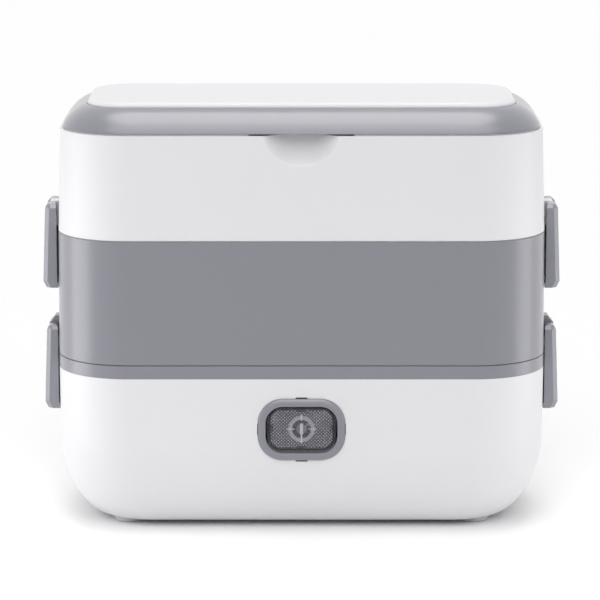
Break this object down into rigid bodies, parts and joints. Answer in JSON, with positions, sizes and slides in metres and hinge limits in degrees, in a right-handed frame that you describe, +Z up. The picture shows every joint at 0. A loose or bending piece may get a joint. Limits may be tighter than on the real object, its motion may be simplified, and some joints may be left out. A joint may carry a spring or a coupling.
{
  "type": "electric lunch box",
  "caption": "Two-tier electric lunch box: heated base with push button, steaming tier, storage tier, hinged lid and side latches.",
  "frame": {"origin": "on the surface the feet stand on, under the middle of the body", "axes": "+Z up, front with the button and the finger notch faces -Y, +X to the right of someone facing the front"},
  "size_m": [0.2414, 0.1057, 0.1993],
  "materials": {
    "white_plastic": "satin white moulded plastic",
    "grey_plastic": "satin mid grey moulded plastic",
    "clear_plastic": "clear moulded plastic",
    "dark_reflector": "dark knurled plastic",
    "black_plastic": "black engineering plastic",
    "steel": "stainless sheet",
    "aluminium": "cast aluminium",
    "pale_cover": "translucent white plastic",
    "silicone": "pale silicone",
    "foot_rubber": "translucent white rubber",
    "brass": "plain brass",
    "lamp": "small lamp",
    "wire": "silicone insulated wire"
  },
  "bodies": {
    "base": {"base_shell": "white_plastic", "inlet_surround": "white_plastic", "base_liner": "grey_plastic", "water_tub": "grey_plastic", "tub_floor": "grey_plastic", "middle_seal": "silicone", "heating_plate": "aluminium", "plate_gasket": "silicone", "heater_element": "aluminium", "heater_straps": "steel", "strap_screws": "steel", "thermostat": "black_plastic", "thermal_fuse": "steel", "power_inlet": "black_plastic", "inlet_blades": "brass", "wiring": "wire", "bezel": "grey_plastic", "switch_body": "black_plastic", "indicator_lamps": "lamp", "button_spring": "steel", "feet": "foot_rubber", "base_screws": "steel"},
    "power_button": {"button_cap": "clear_plastic", "button_reflector": "dark_reflector", "button_carrier": "black_plastic"},
    "lower_container": {"lower_container": "steel"},
    "lower_cover": {"lower_cover": "pale_cover", "lower_cover_seal": "silicone"},
    "middle_tier": {"middle_tier": "grey_plastic", "upper_seal": "silicone", "lower_latch_ears": "grey_plastic", "lower_latch_pins": "steel"},
    "lower_latch_left": {"lower_latch_left": "grey_plastic"},
    "lower_latch_right": {"lower_latch_right": "grey_plastic"},
    "middle_container": {"middle_container": "steel"},
    "middle_cover": {"middle_cover": "pale_cover", "middle_cover_seal": "silicone"},
    "upper_tier": {"upper_tier": "white_plastic", "upper_latch_ears": "white_plastic", "upper_latch_pins": "steel", "hinge_pins": "steel"},
    "upper_latch_left": {"upper_latch_left": "grey_plastic"},
    "upper_latch_right": {"upper_latch_right": "grey_plastic"},
    "lid": {"lid_frame": "grey_plastic", "lid_panel": "white_plastic", "lid_seal": "silicone"}
  },
  "joints": [
    {"name": "power_button_push", "type": "slide", "parent": "base", "child": "power_button", "axis": [0, 1, 0], "range_m": [0, 0.002], "stiffness_N_per_m": 400, "springref_m": -0.003, "deforming": ["button_spring"]},
    {"name": "middle_tier_lift", "type": "slide", "parent": "base", "child": "middle_tier", "axis": [0, 0, 1], "range_m": [0, 0.12]},
    {"name": "lower_container_lift", "type": "slide", "parent": "base", "child": "lower_container", "axis": [0, 0, 1], "range_m": [0, 0.06]},
    {"name": "lower_cover_lift", "type": "slide", "parent": "base", "child": "lower_cover", "axis": [0, 0, 1], "range_m": [0, 0.09]},
    {"name": "upper_tier_lift", "type": "slide", "parent": "middle_tier", "child": "upper_tier", "axis": [0, 0, 1], "range_m": [0, 0.12]},
    {"name": "middle_container_lift", "type": "slide", "parent": "middle_tier", "child": "middle_container", "axis": [0, 0, 1], "range_m": [0, 0.06]},
    {"name": "middle_cover_lift", "type": "slide", "parent": "middle_tier", "child": "middle_cover", "axis": [0, 0, 1], "range_m": [0, 0.09]},
    {"name": "lid_hinge", "type": "hinge", "parent": "upper_tier", "child": "lid", "pos_m": [0, 0.05155, 0.18575], "axis": [-1, 0, 0], "range_deg": [0, 105]},
    {"name": "lower_latch_left_hinge", "type": "hinge", "parent": "middle_tier", "child": "lower_latch_left", "pos_m": [-0.11665, 0, 0.08825], "axis": [0, 1, 0], "range_deg": [0, 110]},
    {"name": "lower_latch_right_hinge", "type": "hinge", "parent": "middle_tier", "child": "lower_latch_right", "pos_m": [0.11665, 0, 0.08825], "axis": [0, -1, 0], "range_deg": [0, 110]},
    {"name": "upper_latch_left_hinge", "type": "hinge", "parent": "upper_tier", "child": "upper_latch_left", "pos_m": [-0.11665, 0, 0.14595], "axis": [0, 1, 0], "range_deg": [0, 110]},
    {"name": "upper_latch_right_hinge", "type": "hinge", "parent": "upper_tier", "child": "upper_latch_right", "pos_m": [0.11665, 0, 0.14595], "axis": [0, -1, 0], "range_deg": [0, 110]}
  ],
  "couplings": [
    {"joint": "lower_container_lift", "follows": "middle_tier_lift", "ratio": 0.5},
    {"joint": "lower_cover_lift", "follows": "middle_tier_lift", "ratio": 0.75},
    {"joint": "middle_container_lift", "follows": "upper_tier_lift", "ratio": 0.5},
    {"joint": "middle_cover_lift", "follows": "upper_tier_lift", "ratio": 0.75}
  ]
}
